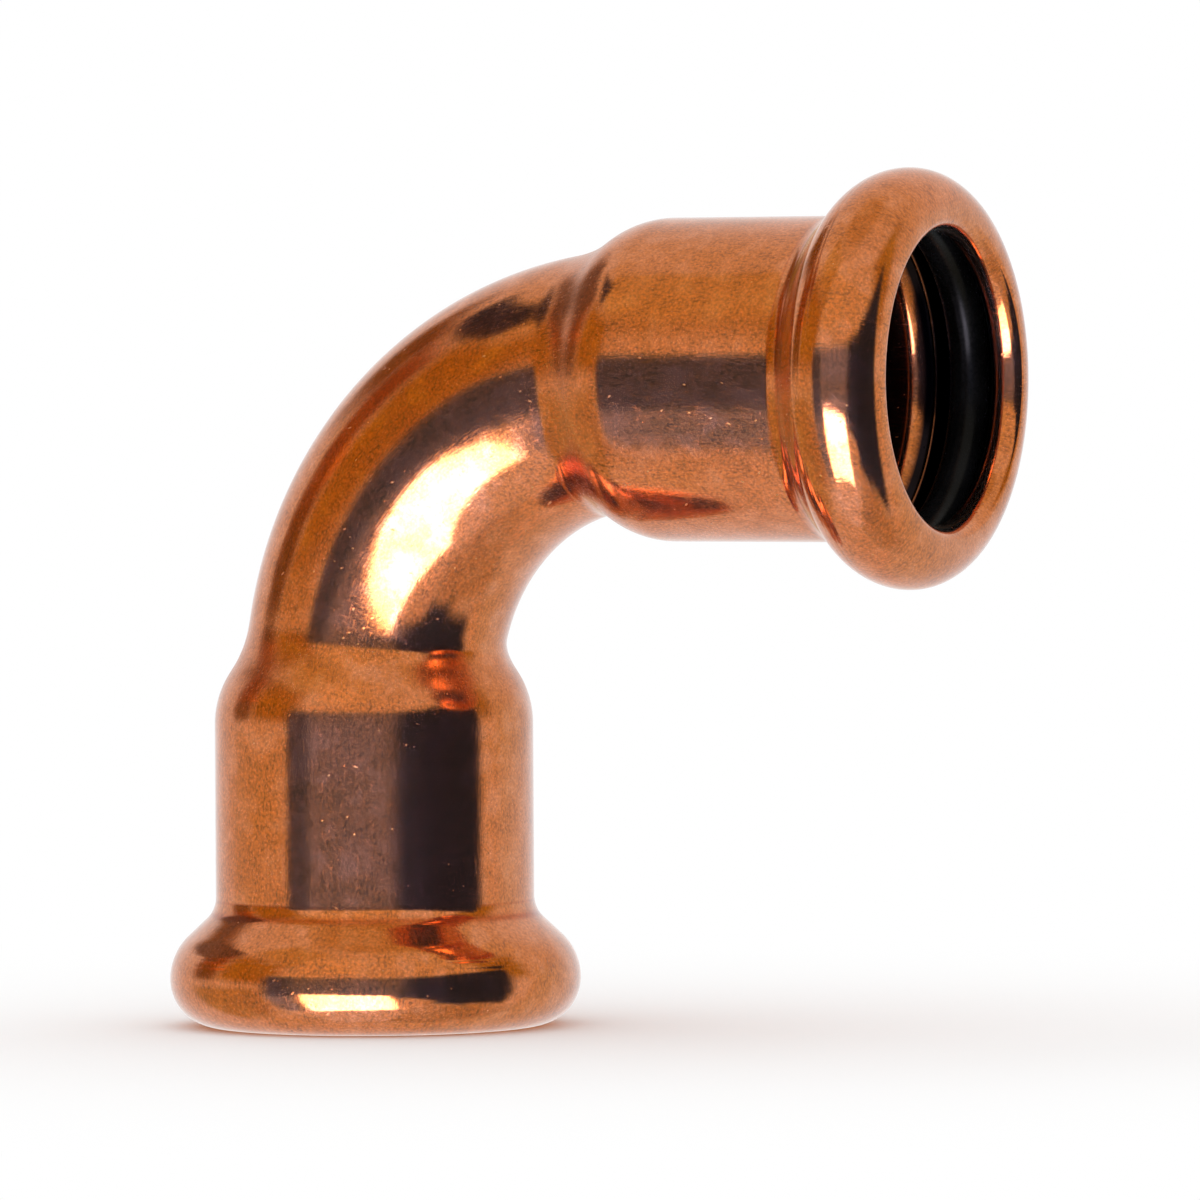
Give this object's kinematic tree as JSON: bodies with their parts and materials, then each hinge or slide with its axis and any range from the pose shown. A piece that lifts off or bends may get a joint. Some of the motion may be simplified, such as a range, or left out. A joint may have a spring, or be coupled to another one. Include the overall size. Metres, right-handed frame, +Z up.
{
  "type": "press fit elbow",
  "caption": "Copper press fit elbow, a quarter turn between two beaded sockets, each with a black seal ring for a plain copper pipe.",
  "frame": {"origin": "middle of the lower mouth, in the plane of its front face", "axes": "+Z up the lower socket's axis, +X along the upper socket's axis and out of its mouth, Y across the bend's flat plane"},
  "size_m": [0.0662, 0.032, 0.0662],
  "materials": {
    "copper": "drawn copper, bright with a light tan tarnish",
    "seal_rubber": "satin black moulded rubber"
  },
  "bodies": {
    "root": {"elbow_body": "copper", "seal_ring_lower": "seal_rubber", "seal_ring_upper": "seal_rubber"}
  },
  "joints": []
}
